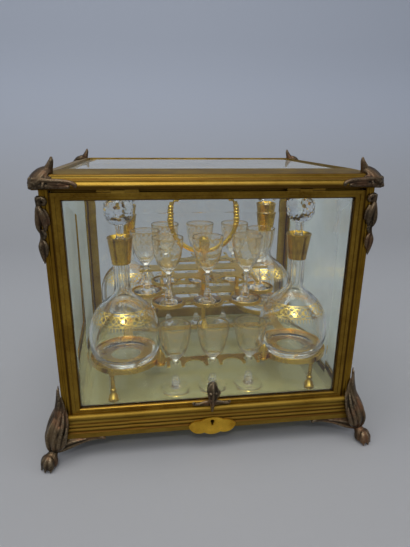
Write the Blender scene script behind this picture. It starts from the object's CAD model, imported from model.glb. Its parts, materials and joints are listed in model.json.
import json
from math import cos, pi, radians, sin

import bmesh
import bpy
import numpy as np
from mathutils import Matrix, Vector


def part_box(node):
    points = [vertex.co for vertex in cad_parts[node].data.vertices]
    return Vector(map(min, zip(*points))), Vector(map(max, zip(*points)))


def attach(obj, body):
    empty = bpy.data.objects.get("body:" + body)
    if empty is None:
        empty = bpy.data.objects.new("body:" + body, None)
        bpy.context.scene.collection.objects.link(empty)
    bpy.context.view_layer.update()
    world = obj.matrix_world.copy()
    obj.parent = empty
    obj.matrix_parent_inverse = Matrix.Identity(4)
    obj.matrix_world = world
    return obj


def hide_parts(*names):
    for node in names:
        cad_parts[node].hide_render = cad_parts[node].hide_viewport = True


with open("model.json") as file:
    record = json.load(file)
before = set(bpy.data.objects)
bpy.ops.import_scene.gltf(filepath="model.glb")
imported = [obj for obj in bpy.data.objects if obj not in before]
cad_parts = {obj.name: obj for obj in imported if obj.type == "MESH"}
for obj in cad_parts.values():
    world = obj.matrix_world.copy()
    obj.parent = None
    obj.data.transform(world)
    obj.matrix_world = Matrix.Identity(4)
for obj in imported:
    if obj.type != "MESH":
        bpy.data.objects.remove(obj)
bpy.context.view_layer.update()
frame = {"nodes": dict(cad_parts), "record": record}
nodes = frame["nodes"]

MM = 0.001
CORNERS = {
    "front_left": (-1, -1),
    "front_right": (1, -1),
    "rear_left": (-1, 1),
    "rear_right": (1, 1),
}

# Places read from the frame, in metres
LID_EDGE = 0.0161  # height of the lid's moulding
LID_LIP = 0.0040  # how far its lowest ledge reaches past the case
post_low, post_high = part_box("post_front_right")
half_x, half_y = post_high.x, -post_low.y
post_inner_x, post_inner_y = post_low.x, -post_high.y
base_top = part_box("base_frame")[1].z
lid_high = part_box("lid_frame")[1]
lid_bottom = lid_high.z - LID_EDGE
ledge_x = lid_high.x - LID_LIP


# Node trees


def put(tree, kind, inputs=None, **settings):
    """Adds a node. An input takes a plain value, or another node's output to link."""
    made = tree.nodes.new(kind)
    for name, value in settings.items():
        setattr(made, name, value)
    for name, value in (inputs or {}).items():
        socket = made.inputs[name]
        if isinstance(value, bpy.types.NodeSocket):
            tree.links.new(value, socket)
        else:
            socket.default_value = value
    return made


def sums(tree, operation, first, second=0.0, third=None):
    inputs = {0: first, 1: second}
    if third is not None:
        inputs[2] = third
    return put(tree, "ShaderNodeMath", inputs, operation=operation).outputs[0]


def times(tree, first, second):
    return sums(tree, "MULTIPLY", first, second)


def smooth_step(tree, value, low, high, start=0.0, end=1.0):
    inputs = {"Value": value, "From Min": low, "From Max": high, "To Min": start, "To Max": end}
    return put(tree, "ShaderNodeMapRange", inputs, interpolation_type="SMOOTHSTEP").outputs["Result"]


def near(tree, value, centre, half_width, soft):
    """1 where value is within half_width of centre, falling to 0 over soft."""
    away = sums(tree, "ABSOLUTE", sums(tree, "SUBTRACT", value, centre))
    return smooth_step(tree, away, half_width, half_width + soft, 1.0, 0.0)


def noise(tree, place, scale, detail=4.0, rough=0.55):
    inputs = {"Vector": place, "Scale": scale, "Detail": detail, "Roughness": rough}
    return put(tree, "ShaderNodeTexNoise", inputs).outputs["Fac"]


def blend_colours(tree, share, first, second):
    made = put(tree, "ShaderNodeMix", {"Factor": share}, data_type="RGBA")
    for index, value in ((6, first), (7, second)):
        if isinstance(value, bpy.types.NodeSocket):
            tree.links.new(value, made.inputs[index])
        else:
            made.inputs[index].default_value = (*value, 1.0)
    return made.outputs[2]


def ramp(tree, value, stops):
    made = put(tree, "ShaderNodeValToRGB", {"Fac": value})
    marks = made.color_ramp.elements
    while len(marks) < len(stops):
        marks.new(0.5)
    for mark, (place, colour) in zip(marks, stops):
        mark.position = place
        mark.color = (*colour, 1.0)
    return made.outputs["Color"]


def bump(tree, height, strength, distance):
    inputs = {"Height": height, "Strength": strength, "Distance": distance}
    return put(tree, "ShaderNodeBump", inputs).outputs["Normal"]


def new_material(name):
    made = bpy.data.materials.new(name)
    made.use_nodes = True
    made.node_tree.nodes.clear()
    tree = made.node_tree
    place = put(tree, "ShaderNodeTexCoord").outputs["Object"]
    return made, tree, place


def finish_material(tree, surface):
    put(tree, "ShaderNodeOutputMaterial", {"Surface": surface})


def stretched(tree, place, x, y, z):
    return put(tree, "ShaderNodeMapping", {"Vector": place, "Scale": (x, y, z)}).outputs["Vector"]


# Metals

GOLD_DARK = (0.060, 0.024, 0.004)
GOLD_BROWN = (0.21, 0.110, 0.014)
GOLD_OLIVE = (0.38, 0.245, 0.045)
GOLD_BRIGHT = (0.90, 0.62, 0.14)
# darkest and lightest gold of each group
POST_GOLD = (0.150, 0.074, 0.007), (0.31, 0.185, 0.022)
CASE_GOLD = (0.26, 0.145, 0.015), (0.56, 0.370, 0.055)
BASE_GOLD = (0.19, 0.105, 0.013), (0.34, 0.220, 0.038)
LID_GOLD = (0.20, 0.110, 0.014), (0.38, 0.250, 0.048)
DOOR_GOLD = (0.155, 0.078, 0.009), (0.36, 0.225, 0.034)
TRAY_GOLD = (0.46, 0.29, 0.045), (0.80, 0.54, 0.10)
APRON_GOLD = (0.42, 0.19, 0.010), (0.95, 0.60, 0.07)
COLLAR_GOLD = (0.16, 0.070, 0.004), (0.95, 0.60, 0.06)
BRONZE_DARK = (0.040, 0.027, 0.015)
BRONZE_BROWN = (0.115, 0.077, 0.040)
BRONZE_RED = (0.160, 0.078, 0.038)
BRONZE_RUBBED = (0.27, 0.21, 0.13)


def mixed(tree, share, first, second):
    return put(tree, "ShaderNodeMixShader", {0: share, 1: first, 2: second}).outputs["Shader"]


def metal(tree, colour, roughness, normal=None, metallic=1.0):
    inputs = {"Base Color": colour, "Metallic": metallic, "Roughness": roughness}
    if normal is not None:
        inputs["Normal"] = normal
    return put(tree, "ShaderNodeBsdfPrincipled", inputs).outputs["BSDF"]


def gilt_metal(name, low, high, dark_lines=(), rough=0.26, grain=(1, 1, 1), streak=420.0):
    """Old gilding: drawn along the moulding, browned in patches, dark in the quirks.
    dark_lines are (axis, centre, half width, soft), in metres, from the frame's own sizes, and where a line
    stops at a mitre, also the axis along it and its two ends."""
    made, tree, place = new_material(name)
    along = stretched(tree, place, *grain)
    patches = noise(tree, place, 38.0, 5.0, 0.62)
    streaks = noise(tree, along, streak, 3.0, 0.5)
    specks = noise(tree, place, 900.0, 2.0, 0.5)
    tone = sums(tree, "MULTIPLY_ADD", streaks, 0.45, sums(tree, "MULTIPLY_ADD", patches, 0.9, -0.2))
    colour = ramp(tree, tone, [(0.22, low), (0.5, [(a + b) / 2 for a, b in zip(low, high)]), (0.78, high)])
    spots = smooth_step(tree, specks, 0.66, 0.74)
    colour = blend_colours(tree, times(tree, spots, 0.55), colour, GOLD_DARK)
    split = put(tree, "ShaderNodeSeparateXYZ", {"Vector": place})
    for axis, centre, half_width, soft, *ends in dark_lines:
        value = sums(tree, "ABSOLUTE", split.outputs[axis]) if axis != "Z" else split.outputs["Z"]
        dark = near(tree, value, centre, half_width, soft)
        if ends:
            along_bar = sums(tree, "ABSOLUTE", split.outputs[ends[0]])
            length = near(tree, along_bar, (ends[1] + ends[2]) / 2, (ends[2] - ends[1]) / 2, soft)
            dark = times(tree, dark, length)
        worn = times(tree, dark, sums(tree, "MULTIPLY_ADD", patches, 0.5, 0.55))
        colour = blend_colours(tree, worn, colour, GOLD_DARK)
    shine = sums(tree, "MULTIPLY_ADD", patches, 0.30, rough - 0.12)
    fine = sums(tree, "MULTIPLY_ADD", streaks, 0.6, specks)
    finish_material(tree, metal(tree, colour, shine, bump(tree, fine, 0.22, 0.0002)))
    return made


def bronze_metal(name):
    """Brown patina, reddish in patches, greenish dust in the hollows, rubbed on the ridges.
    The ridge attribute is 0 in the hollows and 1 on the ridges."""
    made, tree, place = new_material(name)
    ridge = put(tree, "ShaderNodeAttribute", attribute_name="ridge").outputs["Fac"]
    patches = noise(tree, place, 60.0, 5.0, 0.6)
    fine = noise(tree, place, 700.0, 4.0, 0.6)
    red = smooth_step(tree, noise(tree, place, 34.0, 3.0), 0.44, 0.62)
    body = blend_colours(tree, red, BRONZE_BROWN, BRONZE_RED)
    body = blend_colours(tree, smooth_step(tree, patches, 0.35, 0.62), BRONZE_DARK, body)
    worn = times(tree, smooth_step(tree, ridge, 0.56, 0.84), smooth_step(tree, fine, 0.36, 0.60))
    body = blend_colours(tree, times(tree, worn, 0.62), body, BRONZE_RUBBED)
    height = put(tree, "ShaderNodeSeparateXYZ", {"Vector": place}).outputs["Z"]
    body = blend_colours(tree, smooth_step(tree, height, 0.10, 0.24, 0.0, 0.42), body, (0.012, 0.007, 0.004))
    deep = smooth_step(tree, ridge, 0.46, 0.20)
    body = blend_colours(tree, times(tree, deep, 0.8), body, (0.018, 0.016, 0.011))
    shine = sums(tree, "MULTIPLY_ADD", patches, 0.25, sums(tree, "MULTIPLY_ADD", deep, 0.25, 0.26))
    finish_material(tree, metal(tree, body, shine, bump(tree, fine, 0.35, 0.0004), 0.85))
    return made


# Glass


def clear_glass(tree, tint, roughness=0.0, normal=None):
    inputs = {
        "Base Color": (*tint, 1.0) if isinstance(tint, tuple) else tint,
        "Roughness": roughness,
        "Transmission Weight": 1.0,
        "IOR": 1.5,
    }
    if normal is not None:
        inputs["Normal"] = normal
    return put(tree, "ShaderNodeBsdfPrincipled", inputs).outputs["BSDF"]


def lets_light_through(tree, surface, tint):
    """Lamps shine through the glass, so that what stands behind it isn't black."""
    path = put(tree, "ShaderNodeLightPath").outputs["Is Shadow Ray"]
    open_way = put(tree, "ShaderNodeBsdfTransparent", {"Color": (*tint, 1.0)}).outputs["BSDF"]
    return mixed(tree, path, surface, open_way)


def pane_glass(name, tint, shade, film, film_colour):
    """Flat plate glass: barely wavy, with specks of dust and a film that shows at a slant.
    film is the film's share seen straight on, and seen at a slant."""
    made, tree, place = new_material(name)
    waves = noise(tree, place, 9.0, 2.0)
    dust = smooth_step(tree, noise(tree, place, 1500.0, 1.0), 0.74, 0.80)
    rough = times(tree, dust, 0.25)
    surface = clear_glass(tree, tint, rough, bump(tree, waves, 0.04, 0.002))
    slant = put(tree, "ShaderNodeLayerWeight", {"Blend": 0.5}).outputs["Facing"]
    share = smooth_step(tree, slant, 0.35, 0.85, *film)
    share = times(tree, share, sums(tree, "MULTIPLY_ADD", noise(tree, place, 22.0, 4.0), 0.5, 0.75))
    powder = put(tree, "ShaderNodeBsdfDiffuse", {"Color": (*film_colour, 1.0)}).outputs["BSDF"]
    finish_material(tree, lets_light_through(tree, mixed(tree, share, surface, powder), shade))
    return made


def blown_glass(name, tint, shade):
    """Hand-blown glass: slightly uneven walls."""
    made, tree, place = new_material(name)
    waves = noise(tree, place, 55.0, 2.0)
    surface = clear_glass(tree, tint, 0.0, bump(tree, waves, 0.10, 0.001))
    finish_material(tree, lets_light_through(tree, surface, shade))
    return made


# Patterns on turned glass. Its UV map holds the turn, 0 to 1, and the height in metres.

LINE_SOFT = 0.00018  # worn edge of a painted line, in metres

def turned_place(tree):
    split = put(tree, "ShaderNodeSeparateXYZ", {"Vector": put(tree, "ShaderNodeUVMap").outputs["UV"]})
    return split.outputs["X"], split.outputs["Y"]


def wave(tree, turn, count, middle, swing, shift=0.0):
    """Height of a wavy line that goes round count times."""
    angle = sums(tree, "MULTIPLY_ADD", turn, 2 * pi * count, shift)
    return sums(tree, "MULTIPLY_ADD", sums(tree, "SINE", angle), swing, middle)


def line(tree, height, level, half_width):
    return near(tree, height, level, half_width, LINE_SOFT)


def ripple(tree, angle):
    """0 at every half turn of the angle, and 1 between."""
    return sums(tree, "ABSOLUTE", sums(tree, "SINE", angle))


def most(tree, *shares):
    best = shares[0]
    for share in shares[1:]:
        best = sums(tree, "MAXIMUM", best, share)
    return best


def flower_row(tree, turn, height, count, level, radius, petals, around, shift=0.0):
    """Small flowers spaced round the glass. around is the glass's girth in metres."""
    cell = sums(tree, "FRACT", sums(tree, "MULTIPLY_ADD", turn, count, shift))
    x = times(tree, sums(tree, "SUBTRACT", cell, 0.5), around / count)
    y = sums(tree, "SUBTRACT", height, level)
    angle = sums(tree, "ARCTAN2", y, x)
    far = sums(tree, "SQRT", sums(tree, "ADD", times(tree, x, x), times(tree, y, y)))
    edge = sums(tree, "MULTIPLY_ADD", sums(tree, "COSINE", times(tree, angle, petals)), 0.3, 0.7)
    reach = sums(tree, "DIVIDE", far, times(tree, edge, radius))
    return smooth_step(tree, reach, 0.85, 1.05, 1.0, 0.0)


def gilt_on_glass(name, tint, shade, pattern):
    """Glass with a worn gilt pattern. pattern(tree, turn, height) returns (gold, frost) shares."""
    made, tree, place = new_material(name)
    turn, height = turned_place(tree)
    gold_share, frost = pattern(tree, turn, height)
    rubbed = smooth_step(tree, noise(tree, place, 260.0, 3.0), 0.30, 0.46)
    gold_share = times(tree, gold_share, sums(tree, "MULTIPLY_ADD", rubbed, 0.6, 0.35))
    waves = noise(tree, place, 55.0, 2.0)
    cut = sums(tree, "MULTIPLY_ADD", frost, 1.0, times(tree, waves, 0.05))
    surface = clear_glass(tree, tint, times(tree, frost, 0.30), bump(tree, cut, 0.5, 0.0006))
    gold = metal(tree, (*GOLD_BRIGHT, 1.0), 0.22)
    finish_material(tree, lets_light_through(tree, mixed(tree, gold_share, surface, gold), shade))
    return made


# Meshes


def linked(name, data):
    """A new object at the origin."""
    made = bpy.data.objects.new(name, data)
    bpy.context.scene.collection.objects.link(made)
    return made


def new_piece(name, points, faces, materials, body, replaces=(), smooth=True, uvs=None):
    mesh = bpy.data.meshes.new(name)
    mesh.from_pydata([tuple(p) for p in points], [], faces)
    made = linked(name, mesh)
    for item in materials:
        mesh.materials.append(item)
    mesh.polygons.foreach_set("use_smooth", [smooth] * len(mesh.polygons))
    if uvs is not None:
        layer = mesh.uv_layers.new(name="UVMap")
        layer.data.foreach_set("uv", [value for corner in uvs for value in corner])
    mesh.update()
    if body:
        place_piece(made, body, replaces)
    return made


def place_piece(piece, body, replaces=()):
    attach(piece, body)
    if replaces:
        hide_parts(*replaces)
    return piece


def smooth_line(points, spread=6):
    """A denser line through the points, by Catmull-Rom."""
    points = [np.array(p, float) for p in points]
    padded = [2 * points[0] - points[1], *points, 2 * points[-1] - points[-2]]
    made = []
    for a, b, c, d in zip(padded, padded[1:], padded[2:], padded[3:]):
        for step in range(spread):
            t = step / spread
            bend = (2 * a - 5 * b + 4 * c - d) * t * t + (3 * b - a - 3 * c + d) * t**3
            made.append(0.5 * (2 * b + (c - a) * t + bend))
    made.append(points[-1])
    return made


def turned_mesh(outline, centre, steps, reeds=None):
    """Spins (radius, height) points about the vertical at centre, in metres.
    reeds(radius, height, angle) may change a radius. Returns points, faces and UVs."""
    points, faces, uvs = [], [], []
    rows = []
    for radius, height in outline:
        if radius < 1e-7:
            rows.append([len(points)] * steps)
            points.append((centre[0], centre[1], centre[2] + height))
            continue
        row = []
        for step in range(steps):
            angle = 2 * pi * step / steps
            wide = reeds(radius, height, angle) if reeds else radius
            row.append(len(points))
            points.append((centre[0] + wide * cos(angle), centre[1] + wide * sin(angle), centre[2] + height))
        rows.append(row)
    for low, high in zip(range(len(rows)), range(1, len(rows))):
        for step in range(steps):
            after = (step + 1) % steps
            turn, next_turn = step / steps, (step + 1) / steps
            corner = [
                (rows[low][step], turn, outline[low][1]),
                (rows[low][after], next_turn, outline[low][1]),
                (rows[high][after], next_turn, outline[high][1]),
                (rows[high][step], turn, outline[high][1]),
            ]
            kept = [c for i, c in enumerate(corner) if c[0] not in [d[0] for d in corner[:i]]]
            faces.append([c[0] for c in kept])
            uvs += [(c[1], c[2]) for c in kept]
    return points, faces, uvs


def joined(shells):
    """Several (points, faces) shells as one."""
    points, faces = [], []
    for more_points, more_faces in shells:
        start = len(points)
        points += list(more_points)
        faces += [[i + start for i in face] for face in more_faces]
    return points, faces


# Glassware

SHARP = radians(42)  # an edge sharper than this shows as a crease
FOOT_EDGE = [(15.7, 0.2), (16.0, 0.7), (15.7, 1.2)]


def bulge(low, high, waist, swell, steps=6):
    """A rounded ring on a stem."""
    return [(waist + swell * sin(pi * i / steps), low + (high - low) * i / steps) for i in range(steps + 1)]


def curve(points, spread=5):
    return [tuple(p) for p in smooth_line(points, spread)]


def goblet_walls():
    """Half outlines, in millimetres above the foot: up the outside, and down inside the bowl."""
    outside = [(0, 0.3), (9.0, 0.2), (14.8, 0.0)] + FOOT_EDGE
    outside += curve([(15.5, 1.35), (11.0, 2.0), (6.6, 3.2), (4.0, 4.7), (3.0, 5.6)], 3)
    outside += bulge(5.8, 8.2, 2.7, 2.1) + bulge(8.5, 10.7, 2.5, 1.8) + bulge(11.0, 12.9, 2.4, 1.4)
    outside += bulge(13.2, 14.8, 2.3, 1.0) + [(2.15, 16.4), (2.05, 22.0), (2.1, 28.0)]
    outside += bulge(30.6, 33.4, 2.3, 1.6)
    bowl = [(2.5, 34.4), (6.0, 38.3), (10.5, 43.5), (13.7, 50.5), (16.0, 60.0), (17.1, 68.5), (17.6, 75.7)]
    outside += curve(bowl, 5)
    outside += [(17.5, 76.3), (17.1, 76.5)]
    inside = [(16.75, 76.2)]
    hollow = [(16.65, 75.4), (16.1, 68.0), (14.9, 59.5), (12.6, 51.2), (9.3, 44.8), (5.0, 41.0), (0, 39.9)]
    inside += curve(hollow, 4)
    return outside, inside


def decanter_walls():
    """Half outlines, in millimetres above the foot."""
    outside = [(0, 1.4), (14.0, 1.1), (26.0, 0.4), (30.0, 0.0), (31.6, 0.7)]
    outside += curve(
        [
            (33.2, 2.6), (36.0, 8.0), (37.9, 17.0), (38.1, 29.0), (36.6, 40.0), (33.2, 49.6), (27.6, 58.2),
            (20.6, 65.0), (14.0, 70.0), (10.2, 74.6), (8.8, 80.5), (8.6, 90.0),
        ],
        6,
    )
    outside += [(8.6, 100.0), (8.6, 107.0), (8.6, 109.0), (8.6, 128.0), (8.8, 129.7), (8.3, 130.2)]
    inside = [(6.6, 130.2), (6.15, 129.4), (6.1, 116.0)]
    inside += curve(
        [
            (6.1, 88.0), (6.2, 80.0), (7.6, 74.0), (11.8, 69.0), (18.4, 63.6), (25.4, 56.8), (30.9, 48.2),
            (34.1, 39.2), (35.6, 29.0), (35.3, 18.0), (33.0, 10.4), (28.0, 7.0), (16.0, 5.6), (0, 5.2),
        ],
        5,
    )
    return outside, inside


def glass_shell(walls, centre, steps, reeds=None):
    """One closed shell of glass. The inner wall's UV height is 1 m lower, so patterns stay outside."""
    outside, inside = walls
    outline = [(r * MM, z * MM) for r, z in outside + inside]
    points, faces, uvs = turned_mesh(outline, centre, steps, reeds)
    corner = 0
    for index, (low, high) in enumerate(zip(outline, outline[1:])):
        at_axis = min(low[0], high[0]) < 1e-7
        after = corner + steps * (3 if at_axis else 4)
        if index >= len(outside) - 1:
            uvs[corner:after] = [(turn, height - 1.0) for turn, height in uvs[corner:after]]
        corner = after
    return points, faces, uvs


# Cast bronze: fluted ribs run together, then chased smooth

# In millimetres
SPIRE_OUT = (57.0, 87.5)  # from the tray's middle
BUD_REACH = 6.4  # from the knob's front to the bud's middle
RAIL_MIDDLE = 3.0  # from the door's lower edge


def rib(path, wide=None, stretch=1.0, ridges=0, depth=0.0, steps=14, spread=5):
    """A closed rod along (x, y, z, radius) points in millimetres, rounded at both ends.
    wide is the direction in which its section is stretched."""
    line = np.array(smooth_line(path, spread))
    spots, radii = line[:, :3], np.maximum(line[:, 3], 0.2)
    ahead = np.gradient(spots, axis=0)
    ahead /= np.linalg.norm(ahead, axis=1)[:, None]
    across = np.array(wide, float) if wide is not None else np.eye(3)[np.argmin(np.abs(ahead[0]))]
    points = [spots[0] - ahead[0] * radii[0] * 0.7]
    for spot, way, radius in zip(spots, ahead, radii):
        flat = across if wide is None else np.array(wide, float)
        flat = flat - way * np.dot(flat, way)
        across = flat / np.linalg.norm(flat)
        beside = np.cross(way, across)
        for step in range(steps):
            turn = 2 * pi * step / steps
            reach = radius * (1 + depth * cos(ridges * turn))
            points.append(spot + reach * (stretch * cos(turn) * across + sin(turn) * beside))
    points.append(spots[-1] + ahead[-1] * radii[-1] * 0.7)
    faces = []
    for step in range(steps):
        faces.append((0, 1 + (step + 1) % steps, 1 + step))
    for row in range(len(spots) - 1):
        low, high = 1 + row * steps, 1 + (row + 1) * steps
        for step in range(steps):
            after = (step + 1) % steps
            faces.append((low + step, low + after, high + after, high + step))
    last = 1 + (len(spots) - 1) * steps
    for step in range(steps):
        faces.append((last + step, last + (step + 1) % steps, len(points) - 1))
    return points, faces


def relaxed(points, ends, count, rounds):
    """Points drawn towards the mean of their neighbours, rounds times."""
    first, second = ends
    for _ in range(rounds):
        mean = np.zeros_like(points)
        np.add.at(mean, first, points[second])
        np.add.at(mean, second, points[first])
        points = points + 0.5 * (mean / count - points)
    return points


def cast(name, shells, voxel, body, replaces, floor=None, material=None):
    """Runs the shells together at voxel millimetres, chases them smooth, and notes ridges and hollows."""
    points, faces = joined(shells)
    mesh = bpy.data.meshes.new(name + "_pattern")
    mesh.from_pydata([tuple(MM * c for c in p) for p in points], [], faces)
    shape = bmesh.new()
    shape.from_mesh(mesh)
    bmesh.ops.recalc_face_normals(shape, faces=shape.faces)
    shape.to_mesh(mesh)
    shape.free()
    pattern = linked(name + "_pattern", mesh)
    remesh = pattern.modifiers.new("run_together", "REMESH")
    remesh.mode = "VOXEL"
    remesh.voxel_size = voxel * MM
    remesh.use_smooth_shade = True
    ready = pattern.evaluated_get(bpy.context.evaluated_depsgraph_get())
    metal_mesh = bpy.data.meshes.new_from_object(ready)
    bpy.data.objects.remove(pattern)
    bpy.data.meshes.remove(mesh)
    metal_mesh.name = name

    total = len(metal_mesh.vertices)
    place = np.empty(total * 3)
    metal_mesh.vertices.foreach_get("co", place)
    place = place.reshape(-1, 3)
    ends = np.empty(len(metal_mesh.edges) * 2, dtype=np.int64)
    metal_mesh.edges.foreach_get("vertices", ends)
    ends = ends.reshape(-1, 2).T
    count = np.bincount(ends.ravel(), minlength=total)[:, None].astype(float)
    place = relaxed(place, ends, count, 4)
    if floor is not None:
        place[:, 2] = np.maximum(place[:, 2], floor * MM)
    metal_mesh.vertices.foreach_set("co", place.ravel())
    metal_mesh.update()
    facing = np.empty(total * 3)
    metal_mesh.vertices.foreach_get("normal", facing)
    stands_out = np.sum((place - relaxed(place, ends, count, 16)) * facing.reshape(-1, 3), axis=1)
    ridge = np.clip(0.5 + 0.22 * stands_out / (np.std(stands_out) + 1e-9), 0, 1)
    layer = metal_mesh.attributes.new("ridge", "FLOAT", "POINT")
    layer.data.foreach_set("value", ridge)
    metal_mesh.materials.clear()
    metal_mesh.materials.append(material or bronze)
    metal_mesh.polygons.foreach_set("use_smooth", [True] * len(metal_mesh.polygons))
    return place_piece(linked(name, metal_mesh), body, replaces)


def corner_frame(sx, sy, corner_x):
    """Three ways to give a spot at a corner of the case, in millimetres: by its steps out along X and then Y,
    by the same steps along Y and then X, or outwards and sideways on the diagonal."""

    def along_x(u, v, z, radius):
        return (sx * (corner_x + u), sy * (half_y / MM + v), z, radius)

    def along_y(u, v, z, radius):
        return along_x(v, u, z, radius)

    def diagonal(out, side, z, radius):
        return along_x((out + side) / 2**0.5, (out - side) / 2**0.5, z, radius)

    return along_x, along_y, diagonal


def ribs_at(shells, place, level=0.0, up=1):
    """A function that adds a rib along spots (step, step, height from level, radius)."""

    def add(path, **form):
        shells.append(rib([place(a, b, level + up * height, r) for a, b, height, r in path], **form))

    return add


def cast_foot(name, sx, sy):
    """A lion's paw under a leafy leg, with a branch curling in under each moulding."""
    along_x, along_y, diagonal = corner_frame(sx, sy, ledge_x / MM)
    sideways = (sx, -sy, 0)
    shells = []
    leaf = ribs_at(shells, diagonal)
    # leg, then the leaf's midrib and its side ribs
    leaf([
        (11.0, 0, 15, 4.3), (10.4, 0, 20, 6.2), (10.2, 0, 28, 7.8), (8.6, 0, 37, 7.2), (5.0, 0, 46, 5.6),
        (0.6, 0, 54, 3.4), (-0.8, 0, 64, 2.0),
    ])
    leaf([
        (12.6, 0, 16, 2.9), (15.6, 0, 21, 3.1), (16.4, 0, 29, 3.2), (14.2, 0, 36, 3.2), (10.2, 0, 43.5, 3.0),
        (5.4, 0, 50, 2.5), (2.4, 0, 60, 2.0), (0.6, 0, 70, 1.6), (-0.4, 0, 79, 1.1), (-0.6, 0, 84, 0.5),
    ], wide=sideways, stretch=0.8)
    for side in (-1, 1):
        leaf([
            (12.0, side * 2.6, 16.5, 2.4), (14.0, side * 4.6, 22, 2.7), (13.8, side * 5.4, 30, 2.8),
            (11.0, side * 5.6, 38, 2.7), (7.0, side * 5.4, 46, 2.3), (3.0, side * 4.6, 54, 1.8),
            (1.0, side * 3.4, 61, 1.3), (0.2, side * 2.2, 67, 0.5),
        ])
        leaf([
            (11.0, side * 4.6, 17, 2.2), (11.6, side * 8.4, 23, 2.5), (10.2, side * 9.8, 31, 2.5),
            (7.4, side * 10.2, 39, 2.2), (4.6, side * 9.6, 46, 1.8), (2.4, side * 8.2, 52, 1.2),
            (1.6, side * 7.2, 56, 0.5),
        ])
        leaf([
            (9.6, side * 6.4, 18, 2.3), (8.2, side * 11.4, 24, 2.5), (6.6, side * 13.6, 31, 2.3),
            (4.6, side * 14.2, 38, 1.6), (3.6, side * 13.8, 43, 0.8),
        ])
        # curled tips that turn out from between the ribs
        leaf([
            (12.2, side * 7.4, 26, 1.4), (12.8, side * 8.0, 30, 1.5), (11.4, side * 8.4, 33.4, 0.9),
        ], spread=4)
        leaf([(9.6, side * 8.0, 37, 1.2), (9.4, side * 8.2, 41, 1.3), (7.6, side * 8.0, 44, 0.8)], spread=4)
    # ankle ring and paw
    leaf([(11.0, 0, 13.4, 4.4), (10.8, 0, 16.4, 4.6)], spread=3)
    paw = ribs_at(shells, along_x)
    across, along = 10.6, 14.4
    paw([
        (8.4, 9.6, 14.0, 4.4), (across - 0.6, along - 1.6, 10.6, 6.4), (across, along, 6.4, 7.0),
        (across, along, 3.4, 6.6),
    ])
    toe = [(1.6, 13.4, 2.4), (4.8, 11.6, 3.1), (6.6, 8.0, 3.5), (7.0, 3.6, 3.3)]
    claw = [(8.8, 4.6, 1.4), (9.6, 2.6, 1.1), (9.7, 1.0, 0.8)]
    for turn in (-51, -17, 17, 51):
        c, s = cos(radians(45 + turn)), sin(radians(45 + turn))
        paw([(across + r * c, along + r * s, z, thick) for r, z, thick in toe], spread=4)
        paw([(across + r * c, along + r * s, z, thick) for r, z, thick in claw], spread=3, steps=8)
    # branches under the mouldings
    for place, wide in ((along_x, (1, 0, 0)), (along_y, (0, 1, 0))):
        branch = ribs_at(shells, place)
        branch([
            (8.4, 5.6, 18.4, 4.0), (2, 4.4, 18.6, 3.8), (-8, 4.0, 20.2, 3.0), (-19, 3.6, 22.2, 1.95),
            (-29, 3.4, 23.3, 1.25), (-39, 3.4, 23.4, 0.95),
        ], wide=(0, 0, 1), stretch=1.7)
        # its lower edge curls out in front of it, and a vein runs along its face
        branch([
            (8.0, 7.4, 13.6, 2.4), (2, 7.0, 13.2, 2.2), (-6, 6.2, 15.0, 1.9), (-14, 5.4, 17.6, 1.6),
            (-24, 4.6, 20.4, 1.3), (-33, 4.2, 21.8, 1.1), (-39.5, 4.0, 21.8, 1.3),
        ])
        branch([(7, 8.6, 21.0, 1.6), (-3, 7.4, 20.6, 1.5), (-13, 6.2, 21.8, 1.2), (-24, 5.2, 23.2, 0.9)])
        branch([(-38, 3.6, 23.0, 1.7), (-41.2, 3.6, 22.2, 1.9), (-42.2, 3.6, 20.4, 1.5)], spread=4)
        # leaf spread over the moulding and the foot of the post
        branch([
            (7.0, 8.0, 18.0, 2.8), (4.0, 9.4, 30.0, 3.2), (1.6, 8.2, 43.0, 2.9), (0.4, 4.0, 54.0, 2.6),
            (-0.4, 1.8, 66.0, 1.9), (-0.2, 0.8, 80.0, 0.7),
        ], wide=wide, stretch=1.15)
        branch([
            (6.0, 8.4, 18.0, 2.5), (0.6, 9.4, 30.0, 2.9), (-2.6, 8.2, 43.0, 2.6), (-3.6, 3.8, 52.6, 2.3),
            (-3.4, 1.8, 62.0, 1.7), (-2.4, 0.9, 71.0, 0.6),
        ], wide=wide, stretch=1.15)
        branch([
            (4.4, 8.4, 18.0, 2.2), (-2.6, 8.8, 28.0, 2.5), (-6.2, 8.0, 40.0, 2.2), (-6.6, 4.4, 49.8, 1.7),
            (-5.8, 2.0, 56.0, 1.1), (-4.8, 1.2, 61.0, 0.5),
        ])
    cast(name, shells, 0.5, "case", [name], floor=0.0)


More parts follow.
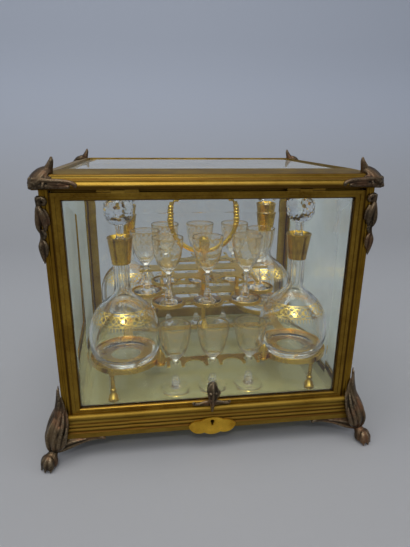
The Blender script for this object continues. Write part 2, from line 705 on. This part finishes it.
def cast_lid_mount(name, sx, sy):
    """A winged cap over the lid's corner: fanned ribs, an upright crest and a branch along each side."""
    along_x, along_y, diagonal = corner_frame(sx, sy, ledge_x / MM)
    low = lid_bottom / MM
    shells = []
    leaf = ribs_at(shells, diagonal, low)
    leaf(
        [(-15, 0, 14.4, 3.4), (-10, 0, 14.2, 4.6), (-5, 0, 10.8, 5.2), (-0.6, 0, 6.8, 4.8), (3.0, 0, 4.2, 3.2)],
        wide=(sx, -sy, 0), stretch=1.75,
    )
    for side in (-9.6, -4.8, 0.0, 4.8, 9.6):
        back = 0.52 * abs(side)
        thin = 1 - 0.04 * abs(side)
        leaf(
            [
                (-14.5, side * 0.15, 17.2, 1.6), (-9.6 - 0.6 * back, side * 0.45, 17.0, 2.0 * thin),
                (-5.0 - 0.8 * back, side * 0.7, 14.4, 2.1 * thin), (-0.6 - back, side * 0.9, 10.2, 2.2 * thin),
                (2.8 - back, side, 5.6, 2.1 * thin), (4.4 - back, side * 1.02, 2.2, 1.6 * thin),
            ],
            spread=6,
        )
    # veins in the hollows between the ribs
    for side in (-8.2, -2.7, 2.7, 8.2):
        back = 0.52 * abs(side)
        leaf(
            [(-8.8 - 0.7 * back, side * 0.6, 16.0, 1.0), (-2.0 - back, side * 0.9, 11.4, 1.1),
             (2.0 - back, side, 5.8, 1.0), (3.4 - back, side, 2.4, 0.7)],
            spread=5, steps=8,
        )
    # beak at the corner
    leaf([(3.2, 0, 3.6, 2.1), (4.6, 0, 2.2, 1.7), (5.0, 0, 1.1, 1.1)], spread=3)
    # crest: an ear-shaped leaf that curls over at its tip
    ribs_at(shells, along_x, low)([
        (-9.2, -6.4, 11, 5.0), (-10.8, -6.2, 15.5, 3.9), (-12.6, -6.0, 19.5, 2.8), (-14.2, -5.9, 23.6, 1.9),
        (-14.8, -5.8, 26.9, 0.9),
    ], wide=(sx, 0.25 * sy, 0), stretch=1.15)
    for place in (along_x, along_y):
        branch = ribs_at(shells, place, low)
        branch([
            (1, 2.4, 8.4, 2.6), (-5, 3.1, 8.2, 2.6), (-14, 3.5, 7.6, 2.3), (-23, 3.6, 7.2, 2.1),
            (-30, 3.6, 6.2, 1.9), (-34, 3.6, 4.0, 1.9), (-33.2, 3.6, 2.4, 1.4),
        ])
        branch([
            (1.6, 3.0, 3.4, 2.4), (-6, 3.4, 3.2, 2.4), (-15, 3.7, 3.0, 2.2), (-23, 3.8, 2.8, 1.9),
            (-29, 3.8, 2.8, 1.6),
        ])
        # cheek between the head and the branch
        branch([(2.0, 0.6, 6.0, 3.6), (-4, 0.8, 8.0, 4.2), (-9, 0.4, 9.0, 3.6), (-14, 0.6, 8.6, 2.2)])
        branch([(-12, 4.6, 5.2, 1.1), (-20, 4.8, 5.0, 1.0), (-27, 4.6, 4.4, 0.6)], spread=4)
    cast(name, shells, 0.42, "lid", [name], floor=low + 0.25)


def cast_post_drops():
    """A leafy drop over each post's outer corner: a volute, a hanging leaf and a bud below it."""
    shells = []
    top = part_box("post_mounts")[1].z / MM
    for sx, sy in CORNERS.values():
        along_x, along_y, diagonal = corner_frame(sx, sy, half_x / MM)
        leaf = ribs_at(shells, diagonal, top, up=-1)

        def lobe(path, **form):
            for place in (along_x, along_y):
                ribs_at(shells, place, top, up=-1)(path, **form)

        leaf([(0.4, 0, 2.2, 3.2), (0.8, 0, 6.0, 2.8), (1.0, 0, 10.0, 2.2)], spread=4)
        leaf([
            (1.2, 0, 8.0, 1.8), (2.4, 0, 14.0, 2.3), (3.4, 0, 21.0, 2.4), (3.6, 0, 27.0, 2.0),
            (2.6, 0, 32.0, 1.0),
        ])
        leaf([
            (0.8, 0, 30.0, 1.8), (0.8, 0, 36.0, 1.7), (1.2, 0, 40.0, 2.2), (2.2, 0, 45.0, 2.9),
            (2.0, 0, 51.0, 2.3), (1.2, 0, 57.0, 1.5), (0.8, 0, 61.0, 0.5),
        ])
        # volute, three leaves one below the other, and the bud's husk
        lobe([
            (-0.6, 1.4, 2.6, 2.0), (-3.6, 1.8, 3.2, 2.2), (-5.0, 1.6, 6.0, 1.8), (-3.2, 1.4, 8.6, 1.4),
        ], spread=4)
        lobe([
            (0.8, 1.6, 10.0, 2.0), (-1.2, 2.2, 15.0, 2.9), (-2.8, 2.1, 21.0, 3.1), (-3.4, 1.8, 26.5, 2.5),
            (-3.0, 1.4, 31.0, 1.1),
        ])
        lobe([
            (-3.0, 1.0, 12.0, 1.3), (-5.4, 1.4, 17.0, 1.7), (-6.4, 1.2, 22.0, 1.4), (-6.6, 0.8, 26.0, 0.7),
        ], spread=4)
        lobe([(-0.6, 1.6, 30.0, 1.4), (-2.6, 1.6, 34.0, 1.6), (-1.2, 1.6, 38.0, 1.1)], spread=4)
        lobe([
            (0.2, 1.4, 39.0, 1.4), (-2.2, 1.8, 44.0, 2.1), (-2.4, 1.6, 50.0, 1.6), (-1.2, 1.2, 55.0, 0.6),
        ], spread=4)
    cast("post_mounts", shells, 0.45, "case", ["post_mounts"])


def cast_door_knob():
    """A dark bud that leans out of a scrolled plate, with a curled leaf at its right."""
    low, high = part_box("door_knob")
    front = low.y / MM
    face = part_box("door_frame")[0].y / MM
    bottom, top = low.z / MM, high.z / MM
    out = front + BUD_REACH
    shells = []

    def part(path, **form):
        shells.append(rib(path, **form))

    part([
        (0, out + 1.2, bottom + 1.0, 1.1), (0, out + 1.0, bottom + 6.0, 1.8),
        (0, out + 0.6, bottom + 12.0, 2.8), (0, out, bottom + 19.0, 3.8),
        (0, out, bottom + 25.0, 4.6), (0, out, bottom + 30.0, 4.8),
        (0, out + 0.2, top - 4.4, 3.8), (0, out + 0.6, top - 1.4, 2.0),
    ], ridges=6, depth=0.10, steps=24)
    for turn in range(0, 360, 60):
        c, s = cos(radians(turn + 30)), sin(radians(turn + 30))
        part([
            (1.2 * c, out + 1.2 * s, bottom + 9.0, 0.9), (3.2 * c, out + 3.2 * s, bottom + 16.0, 1.4),
            (4.2 * c, out + 4.2 * s, bottom + 23.0, 1.6), (4.6 * c, out + 4.6 * s, bottom + 28.5, 1.7),
            (3.9 * c, out + 3.9 * s, top - 5.6, 1.6), (2.2 * c, out + 2.2 * s, top - 2.2, 1.1),
        ], spread=4, steps=10)
        part([
            (4.6 * c, out + 4.6 * s, bottom + 21.0, 0.9), (5.4 * c, out + 5.4 * s, bottom + 24.5, 1.0),
            (4.6 * c, out + 4.6 * s, bottom + 27.0, 0.7),
        ], spread=4, steps=8)
    # four rows of berries: height, distance from the bud's middle, radius
    rows = [(17.5, 3.0, 1.7), (21.5, 4.2, 2.0), (26.0, 4.8, 2.1), (30.0, 3.6, 1.9)]
    for row, (height, reach, size) in enumerate(rows):
        for number in range(6):
            turn = radians(60 * number + 30 * row)
            x, y, level = reach * cos(turn), out + reach * sin(turn), bottom + height
            part([(x, y, level - 1.2, 0.7 * size), (x, y, level, size), (x, y, level + 1.2, 0.6 * size)],
                 spread=3, steps=8)
    part([(4.2, out + 0.4, bottom + 19.0, 1.2), (6.6, out + 0.6, bottom + 21.0, 1.2),
          (7.6, out + 0.8, bottom + 24.4, 1.1), (6.4, out + 0.9, bottom + 26.6, 0.9)], spread=4, steps=10)
    # stem to the plate, then the plate's scrolls, counted from the middle of the door's rail
    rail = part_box("door_frame")[0].z / MM + RAIL_MIDDLE
    part([(0, out + 1.5, rail - 1.0, 2.2), (0, face + 0.6, rail, 3.0)], spread=3)
    for side in (-1, 1):
        part([
            (0, face - 0.4, rail + 0.6, 2.0), (side * 5, face - 0.8, rail + 1.6, 1.6),
            (side * 10, face - 0.8, rail + 0.8, 1.5), (side * 15, face - 0.7, rail - 1.0, 1.3),
            (side * 18.6, face - 0.7, rail - 0.8, 1.2), (side * 19.6, face - 0.6, rail + 1.0, 1.1),
            (side * 18.0, face - 0.6, rail + 1.9, 0.8),
        ])
        part([
            (0, face - 0.4, rail - 1.4, 1.6), (side * 5, face - 0.6, rail - 1.9, 1.3),
            (side * 9, face - 0.6, rail - 1.4, 1.1), (side * 12, face - 0.6, rail - 2.2, 0.8),
        ], spread=4)
        part([(side * 3, face - 0.4, rail - 0.6, 1.8), (side * 12, face - 0.2, rail, 1.2),
              (side * 18, face - 0.2, rail, 0.9)], spread=4)
    cast("door_knob", shells, 0.4, "door", ["door_knob"])


def cast_leaf_spires():
    """A veined leaf over each spire of the tray's lower plate."""
    low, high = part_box("tray_plate")
    middle, tip = (low.x + high.x) / 2 / MM, high.z / MM
    shells = []
    for sx, sy in CORNERS.values():
        x, y = middle + sx * SPIRE_OUT[0], sy * SPIRE_OUT[1]
        body = [(15.9, 2.6), (13.6, 3.4), (10.5, 3.7), (6.5, 3.0), (3.0, 1.9), (0.4, 0.9)]
        shells.append(rib([(x, y, tip - drop, r) for drop, r in body], wide=(1, 0, 0), stretch=1.2))
        vein = [(15.5, 3.0, 0.8), (11.0, 3.9, 0.8), (6.0, 3.1, 0.7), (1.6, 1.5, 0.5)]
        shells.append(rib([(x, y + sy * off, tip - drop, r) for drop, off, r in vein], steps=8))
        for side in (-1, 1):
            lobe = [(14.5, 2.6, 1.0), (10.0, 4.2, 1.1), (6.6, 4.0, 0.8), (4.4, 3.4, 0.4)]
            shells.append(rib([(x + side * off, y, tip - drop, r) for drop, off, r in lobe], steps=8))
    cast("leaf_spires", shells, 0.35, "tray", (), material=tray_brass)


def cast_boss_leaves():
    """Upright leaves round the boss that carries the ring handle."""
    low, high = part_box("ring_handle")
    middle, bottom = (low.x + high.x) / 2 / MM, low.z / MM
    shells = []
    for index in range(8):
        turn = 2 * pi * (index + 0.5) / 8
        tall = 1.0 if index % 2 else 0.86
        path = [
            (3.8, 1.0, 1.0), (5.2, 6.0, 1.4), (6.2, 12.5, 1.6), (5.6, 18.0 * tall, 1.3),
            (4.6, 22.0 * tall, 0.7),
        ]
        spots = [(middle + r * cos(turn), r * sin(turn), bottom + z, thick) for r, z, thick in path]
        shells.append(rib(spots, steps=8))
    collar = [(3.6 * cos(turn) + middle, 3.6 * sin(turn), bottom + 1.2, 0.9)
              for turn in (2 * pi * step / 12 for step in range(13))]
    shells.append(rib(collar, spread=2, steps=8))
    cast("boss_leaves", shells, 0.35, "tray", (), material=tray_brass)


# Stage, light and camera

FLOOR_NEAR = (0.268, 0.267, 0.274)
FLOOR_FAR = (0.318, 0.322, 0.334)
WALL_GREY = (0.405, 0.440, 0.515)
CAMERA_PLACE = Vector((-57.9, -497.2, 319.0))  # in millimetres, as are the lens and the sensor
PITCH, YAW, ROLL = radians(17.96), radians(7.50), radians(0.455)
LENS, SENSOR = 27.89, 36.0


def sweep_backdrop():
    """A pale paper sweep: flat under the cabinet, curving up behind it."""
    made, tree, place = new_material("pale_paper")
    split = put(tree, "ShaderNodeSeparateXYZ", {"Vector": place}).outputs
    colour = blend_colours(tree, smooth_step(tree, split["Y"], -0.40, 0.40), FLOOR_NEAR, FLOOR_FAR)
    colour = blend_colours(tree, smooth_step(tree, split["Z"], -0.02, 0.55), colour, WALL_GREY)
    fibre = noise(tree, place, 320.0, 3.0)
    inputs = {"Base Color": colour, "Roughness": 0.85, "Normal": bump(tree, fibre, 0.06, 0.0006)}
    finish_material(tree, put(tree, "ShaderNodeBsdfPrincipled", inputs).outputs["BSDF"])
    bend, back, reach, top = 0.7, 1.5, 3.5, 3.0
    outline = [(-reach, 0.0), (0.6, 0.0)]
    for step in range(13):
        turn = radians(90 * step / 12)
        outline.append((back - bend + bend * sin(turn), bend * (1 - cos(turn))))
    outline.append((back, top))
    points = [(x, y, z) for x in (-reach, reach) for y, z in outline]
    row = len(outline)
    faces = [(i, i + row, i + row + 1, i + 1) for i in range(row - 1)]
    paper = new_piece("paper_sweep", points, faces, [made], None)


def area_lamp(name, place, aim, size, power, colour=(1, 1, 1)):
    data = bpy.data.lights.new(name, "AREA")
    data.shape = "RECTANGLE"
    data.size, data.size_y = size
    data.energy = power
    data.color = colour
    lamp = linked(name, data)
    lamp.location = place
    lamp.rotation_euler = (Vector(aim) - Vector(place)).to_track_quat("-Z", "Y").to_euler()


def light_scene():
    middle = (0, 0, 0.15)
    area_lamp("soft_top", (-0.3, -0.5, 1.9), middle, (1.6, 1.2), 17, (1.0, 0.99, 0.97))
    area_lamp("soft_left", (-1.7, -0.7, 1.1), middle, (0.9, 1.2), 5, (0.95, 0.98, 1.0))
    area_lamp("soft_right", (1.7, -0.5, 1.2), middle, (0.9, 1.2), 4, (0.97, 0.98, 1.0))
    area_lamp("small_front", (-0.12, -0.95, 0.92), middle, (0.20, 0.10), 2.6)
    world = bpy.data.worlds.new("studio")
    bpy.context.scene.world = world
    world.use_nodes = True
    tree = world.node_tree
    tree.nodes.clear()
    direction = put(tree, "ShaderNodeTexCoord").outputs["Generated"]
    height = put(tree, "ShaderNodeSeparateXYZ", {"Vector": direction}).outputs["Z"]
    colour = ramp(
        tree,
        sums(tree, "MULTIPLY_ADD", height, 0.5, 0.5),
        [
            (0.30, (0.16, 0.16, 0.17)), (0.50, (0.34, 0.35, 0.37)),
            (0.66, (0.62, 0.65, 0.70)), (0.95, (0.92, 0.95, 1.0)),
        ],
    )
    light = put(tree, "ShaderNodeBackground", {"Color": colour, "Strength": 0.75}).outputs["Background"]
    put(tree, "ShaderNodeOutputWorld", {"Surface": light})


def photo_camera():
    """The photograph's viewpoint, found by fitting the case's corners."""
    ahead = Vector((sin(YAW) * cos(PITCH), cos(YAW) * cos(PITCH), -sin(PITCH)))
    level = Vector((cos(YAW), -sin(YAW), 0))
    upright = level.cross(ahead)
    right = cos(ROLL) * level + sin(ROLL) * upright
    up = -sin(ROLL) * level + cos(ROLL) * upright
    data = bpy.data.cameras.new("camera")
    data.sensor_width = SENSOR
    data.lens = LENS
    data.clip_start, data.clip_end = 0.02, 20.0
    camera = linked("camera", data)
    turn = Matrix((right, up, -ahead)).transposed().to_4x4()
    camera.matrix_world = Matrix.Translation(CAMERA_PLACE * MM) @ turn
    bpy.context.scene.camera = camera


sweep_backdrop()
light_scene()
photo_camera()
scene = bpy.context.scene
scene.view_settings.view_transform = "Standard"
scene.cycles.max_bounces = 28
scene.cycles.transmission_bounces = 28
scene.cycles.transparent_max_bounces = 24
scene.cycles.glossy_bounces = 8

# The case's metal and panes

door_low, door_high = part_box("door_frame")
pane_low, pane_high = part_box("door_glass")
tongue = 0.0029
open_x, open_low, open_high = pane_high.x - tongue, pane_low.z + tongue, pane_high.z - tongue
post_brass = gilt_metal("post_brass", *POST_GOLD, (
    ("X", post_inner_x, 0.0005, 0.0007), ("Y", post_inner_y, 0.0005, 0.0007),
), rough=0.34, grain=(1, 1, 0.05))
case_brass = gilt_metal("case_brass", *CASE_GOLD, rough=0.30)
base_brass = gilt_metal("base_brass", *BASE_GOLD, [
    ("Z", base_top - drop, 0.0004, 0.0009) for drop in (0.0059, 0.0097, 0.0133, 0.0171, 0.0180)
], rough=0.54, grain=(0.05, 0.05, 1))
lid_brass = gilt_metal("lid_brass", *LID_GOLD, (
    ("Z", lid_bottom + 0.0088, 0.0004, 0.0010), ("Z", lid_bottom + 0.0006, 0.0018, 0.0016),
    ("Z", lid_bottom + 0.0122, 0.0002, 0.0006),
), rough=0.40, grain=(0.05, 0.05, 1))
door_brass = gilt_metal("door_brass", *DOOR_GOLD, (
    ("X", door_high.x, 0.0008, 0.0008), ("X", open_x, 0.0006, 0.0007, "Z", open_low, open_high),
    ("Z", open_high, 0.0006, 0.0008, "X", 0.0, open_x), ("Z", open_low, 0.0003, 0.0006, "X", 0.0, open_x),
), rough=0.30)
tray_brass = gilt_metal("tray_brass", *TRAY_GOLD)
hinge_brass = gilt_metal("hinge_brass", GOLD_BROWN, GOLD_OLIVE, rough=0.4)
apron_gilt = gilt_metal("apron_gilt", *APRON_GOLD, rough=0.3, streak=90.0)
collar_gilt = gilt_metal(
    "collar_gilt", *COLLAR_GOLD, rough=0.22, grain=(1, 1, 0.04), streak=230.0
)
bronze = bronze_metal("bronze")
PANE_TINT = (0.955, 0.985, 0.975)
PANE_SHADE = (0.92, 0.94, 0.93)
plate_glass = pane_glass("plate_glass", PANE_TINT, PANE_SHADE, (0.0, 0.70), (0.64, 0.71, 0.71))
lid_plate = pane_glass("lid_plate", PANE_TINT, PANE_SHADE, (0.0, 0.22), (0.46, 0.45, 0.38))
floor_plate = pane_glass(
    "floor_plate", (0.84, 0.85, 0.62), (0.40, 0.39, 0.31), (0.30, 0.36), (0.60, 0.55, 0.26)
)

finishes = {
    "case_brass": case_brass,
    "bronze_mounts": bronze,
    "tray_brass": tray_brass,
    "collar_gilt": collar_gilt,
    "hinge_brass": hinge_brass,
    "lock_steel": hinge_brass,
    "pane_glass": plate_glass,
    "decanter_glass": plate_glass,
    "liqueur_glass": plate_glass,
}
special = {
    "lid_frame": lid_brass,
    "base_frame": base_brass,
    "door_frame": door_brass,
    "floor_glass": floor_plate,
    "lid_glass": lid_plate,
    "cartouche": apron_gilt,
}
for corner in CORNERS:
    special["post_" + corner] = post_brass
for row in frame["record"]["subparts"]:
    name = row["node"]
    slots = nodes[name].data.materials
    slots.clear()
    slots.append(special.get(name, finishes[row["material_slot"]]))

# Glassware

FLUTES = 14  # round the bottom of a goblet's bowl
DECANTER_TINT = (0.985, 0.985, 0.955)
GLASS_SHADE = (0.95, 0.95, 0.93)


def net(tree, turn, height, count, slope, thin=0.16):
    """Fine lines that cross like a net, going round count times."""
    shares = []
    for lean in (slope, -slope):
        angle = sums(tree, "MULTIPLY_ADD", height, lean, times(tree, turn, pi * count))
        shares.append(smooth_step(tree, ripple(tree, angle), thin, 0.5 * thin))
    return most(tree, *shares)


def goblet_gilding(tree, turn, height):
    """Gilt rim and foot, a net of crossing waves and small flowers between lines, flutes below."""
    girth = 2 * pi * 0.0168
    shifts = (0.0, pi)
    crossing = [wave(tree, turn, 8, middle, 0.0030, shift) for middle in (0.0690, 0.0630) for shift in shifts]
    small = [wave(tree, turn, 16, 0.0575, 0.0012, shift) for shift in shifts]
    gold_lines = [line(tree, height, level, 0.00020) for level in (0.0745, 0.0552)]
    gold_lines += [line(tree, height, level, 0.00030) for level in crossing]
    gold_lines += [line(tree, height, level, 0.00020) for level in small]
    rim = near(tree, height, 0.0762, 0.0007, 0.0002)
    foot = near(tree, height, 0.0009, 0.00025, 0.0002)
    flowers = flower_row(tree, turn, height, 8, 0.0660, 0.0026, 5, girth, 0.25)
    more = flower_row(tree, turn, height, 8, 0.0660, 0.0015, 4, girth, 0.75)
    dots = flower_row(tree, turn, height, 16, 0.0520, 0.0012, 4, girth, 0.5)
    band = near(tree, height, 0.0655, 0.0070, 0.0010)
    fine = times(tree, times(tree, net(tree, turn, height, 36, 1300.0), band), 0.5)
    gold = most(tree, rim, foot, flowers, more, dots, fine, *gold_lines)
    flute = ripple(tree, times(tree, turn, pi * FLUTES))
    cut_zone = near(tree, height, 0.0445, 0.0060, 0.0025)
    frost = times(tree, smooth_step(tree, flute, 0.32, 0.06), cut_zone)
    return times(tree, gold, 0.68), times(tree, frost, 0.5)


def decanter_gilding(tree, turn, height):
    """An interlaced garland round the shoulder, with short strokes under it and lines at the neck."""
    girth = 2 * pi * 0.031
    crossing = [wave(tree, turn, 8, 0.0545, 0.0036, shift) for shift in (0.0, pi)]
    wide = [wave(tree, turn, 8, 0.0545, 0.0048, shift) for shift in (pi / 2, -pi / 2)]
    gold_lines = [line(tree, height, level, 0.00050) for level in crossing + wide]
    gold_lines += [line(tree, height, level, 0.00025) for level in (0.0602, 0.0487)]
    flowers = flower_row(tree, turn, height, 8, 0.0545, 0.0027, 5, girth, 0.5)
    small = flower_row(tree, turn, height, 8, 0.0545, 0.0016, 4, girth, 0.0)
    band = near(tree, height, 0.0545, 0.0046, 0.0008)
    fine = times(tree, times(tree, net(tree, turn, height, 48, 1200.0), band), 0.4)
    stroke = ripple(tree, times(tree, turn, pi * 64))
    strokes = times(
        tree, smooth_step(tree, stroke, 0.45, 0.25), near(tree, height, 0.0465, 0.0015, 0.0004)
    )
    gold = most(tree, flowers, small, fine, times(tree, strokes, 0.8), *gold_lines)
    return gold, times(tree, strokes, 0.3)


goblet_glass = gilt_on_glass("goblet_glass", DECANTER_TINT, GLASS_SHADE, goblet_gilding)
gilt_decanter_glass = gilt_on_glass("gilt_decanter_glass", DECANTER_TINT, GLASS_SHADE, decanter_gilding)
cut_glass = blown_glass("cut_glass", (0.99, 0.99, 0.985), GLASS_SHADE)


def node_tree(name, sockets):
    """A Geometry Nodes tree with geometry in and out, and the named inputs."""
    tree = bpy.data.node_groups.new(name, "GeometryNodeTree")
    tree.interface.new_socket("Geometry", in_out="INPUT", socket_type="NodeSocketGeometry")
    for label, kind, value in sockets:
        made = tree.interface.new_socket(label, in_out="INPUT", socket_type=kind)
        if value is not None:
            made.default_value = value
    tree.interface.new_socket("Geometry", in_out="OUTPUT", socket_type="NodeSocketGeometry")
    inputs = tree.nodes.new("NodeGroupInput")
    return tree, inputs.outputs


def run_tree(tree, source, values):
    """Runs the tree on the source object and returns the resulting plain mesh."""
    step = source.modifiers.new(tree.name, "NODES")
    step.node_group = tree
    for item in tree.interface.items_tree:
        if item.in_out == "INPUT" and item.name in values:
            step[item.identifier] = values[item.name]
    ready = source.evaluated_get(bpy.context.evaluated_depsgraph_get())
    mesh = bpy.data.meshes.new_from_object(ready)
    source.modifiers.remove(step)
    return mesh


def finish_tree(tree, geometry, material):
    whole = put(tree, "GeometryNodeRealizeInstances", {"Geometry": geometry}).outputs["Geometry"]
    coated = put(tree, "GeometryNodeSetMaterial", {"Geometry": whole, "Material": material}).outputs["Geometry"]
    put(tree, "NodeGroupOutput", {"Geometry": coated})


def row_of_glasses():
    """Sets glasses in a row along X, each turned by its own chance angle."""
    tree, given = node_tree("row_of_glasses", [
        ("Count", "NodeSocketInt", 3),
        ("Pitch", "NodeSocketFloat", 0.04),
        ("Start", "NodeSocketVector", None),
        ("Seed", "NodeSocketInt", 7),
        ("Material", "NodeSocketMaterial", None),
    ])
    step = put(tree, "ShaderNodeCombineXYZ", {"X": given["Pitch"]}).outputs["Vector"]
    line_inputs = {"Count": given["Count"], "Start Location": given["Start"], "Offset": step}
    spots = put(tree, "GeometryNodeMeshLine", line_inputs, mode="OFFSET").outputs["Mesh"]
    chance = put(tree, "FunctionNodeRandomValue", {"Seed": given["Seed"]}, data_type="FLOAT_VECTOR")
    chance.inputs[0].default_value = (0, 0, 0)
    chance.inputs[1].default_value = (0, 0, 2 * pi)
    inputs = {"Points": spots, "Instance": given["Geometry"], "Rotation": chance.outputs[0]}
    glasses = put(tree, "GeometryNodeInstanceOnPoints", inputs).outputs["Instances"]
    finish_tree(tree, glasses, given["Material"])
    return tree


def flutes_below(radius, height, angle):
    """Shallow flutes round the bottom of a goblet's bowl."""
    share = max(0.0, 1 - abs(height - 0.0435) / 0.0085)
    return radius * (1 - 0.035 * share * (0.5 - 0.5 * cos(FLUTES * angle)))


def set_goblets():
    points, faces, uvs = glass_shell(goblet_walls(), (0, 0, 0), 84, flutes_below)
    one = new_piece("goblet", points, faces, [goblet_glass], None, uvs=uvs)
    tree = row_of_glasses()
    rows = {"low_front": 3, "low_rear": 3, "high_front": 3, "high_rear": 3, "high_side": 2}
    for index, (row, count) in enumerate(rows.items()):
        name = "glasses_" + row
        low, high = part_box(name)
        rim = (high.y - low.y) / 2
        start = Vector((low.x + rim, (low.y + high.y) / 2, low.z))
        pitch = (high.x - low.x - 2 * rim) / (count - 1)
        mesh = run_tree(tree, one, {
            "Count": count, "Pitch": pitch, "Start": start, "Seed": 7 + index, "Material": goblet_glass,
        })
        mesh.name = name
        mesh.set_sharp_from_angle(angle=SHARP)
        place_piece(linked(name, mesh), "tray", [name])
    bpy.data.objects.remove(one)


def facet_ball():
    """A ball cut all over in flat facets."""
    tree, given = node_tree("facet_ball", [
        ("Radius", "NodeSocketFloat", 0.015),
        ("Cuts", "NodeSocketInt", 3),
        ("Middle", "NodeSocketVector", None),
        ("Material", "NodeSocketMaterial", None),
    ])
    inputs = {"Radius": given["Radius"], "Subdivisions": given["Cuts"]}
    ball = put(tree, "GeometryNodeMeshIcoSphere", inputs).outputs["Mesh"]
    cut = put(tree, "GeometryNodeDualMesh", {"Mesh": ball}).outputs["Dual Mesh"]
    inputs = {"Geometry": cut, "Translation": given["Middle"], "Rotation": (0.2, 0.1, 0.3)}
    turned_ball = put(tree, "GeometryNodeTransform", inputs).outputs["Geometry"]
    flat = put(tree, "GeometryNodeSetShadeSmooth", {"Geometry": turned_ball, "Shade Smooth": False})
    finish_tree(tree, flat.outputs["Geometry"], given["Material"])
    return tree


def stopper_outline(plug_low, seat, ball_z, ball_radius):
    """Plug, flange and waisted stem, ending inside the ball."""
    outline = [(0, plug_low), (4.6, plug_low), (5.1, plug_low + 0.5), (5.75, seat - 0.2), (7.2, seat)]
    outline += [(7.7, seat + 0.7), (7.3, seat + 1.7), (5.4, seat + 2.6), (4.3, seat + 4.2), (3.9, seat + 8.0)]
    ball_low = ball_z - ball_radius
    return outline + [(4.4, ball_low + 1.0), (4.6, ball_low + 3.5), (0, ball_low + 5.0)]


def flutes_on_neck(radius, height, angle):
    """Ten upright cuts round the outside of a decanter's neck, below its collar."""
    if radius < 0.0078:
        return radius
    share = max(0.0, min(1.0, (height - 0.079) / 0.005, (0.109 - height) / 0.002))
    return radius * (1 - 0.07 * share * abs(cos(5 * angle)))


def fill_decanters():
    balls = facet_ball()
    dummy = new_piece("ball_seed", [(0, 0, 0)], [], [cut_glass], None)
    neck_to_foot, ball_radius, ball_z = 130.2, 15.3, 161.5
    for corner in CORNERS:
        low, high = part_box("decanter_" + corner)
        centre = Vector(((low.x + high.x) / 2, (low.y + high.y) / 2, low.z))
        points, faces, uvs = glass_shell(decanter_walls(), centre, 120, flutes_on_neck)
        decanter = new_piece(
            "decanter_" + corner, points, faces, [gilt_decanter_glass], "decanter_" + corner,
            ["decanter_" + corner], uvs=uvs,
        )
        decanter.data.set_sharp_from_angle(angle=SHARP)
        outline = stopper_outline(neck_to_foot - 15.0, neck_to_foot + 0.3, ball_z, ball_radius)
        stem_points, stem_faces, _ = turned_mesh([(r * MM, z * MM) for r, z in outline], centre, 48)
        middle = centre + Vector((0, 0, ball_z * MM))
        ball = run_tree(balls, dummy, {
            "Radius": ball_radius * MM, "Cuts": 3, "Middle": middle, "Material": cut_glass,
        })
        start = len(stem_points)
        points = list(stem_points) + [tuple(v.co) for v in ball.vertices]
        faces = list(stem_faces) + [[i + start for i in face.vertices] for face in ball.polygons]
        stopper = new_piece(
            "stopper_" + corner, points, faces, [cut_glass], "stopper_" + corner,
            ["stopper_" + corner],
        )
        stopper.data.set_sharp_from_angle(angle=SHARP)
        smooth = [True] * len(stem_faces) + [False] * len(ball.polygons)
        stopper.data.polygons.foreach_set("use_smooth", smooth)
    bpy.data.objects.remove(dummy)


set_goblets()
fill_decanters()
for corner, (sx, sy) in CORNERS.items():
    cast_foot("foot_" + corner, sx, sy)
    cast_lid_mount("lid_mount_" + corner, sx, sy)
cast_post_drops()
cast_door_knob()
cast_leaf_spires()
cast_boss_leaves()
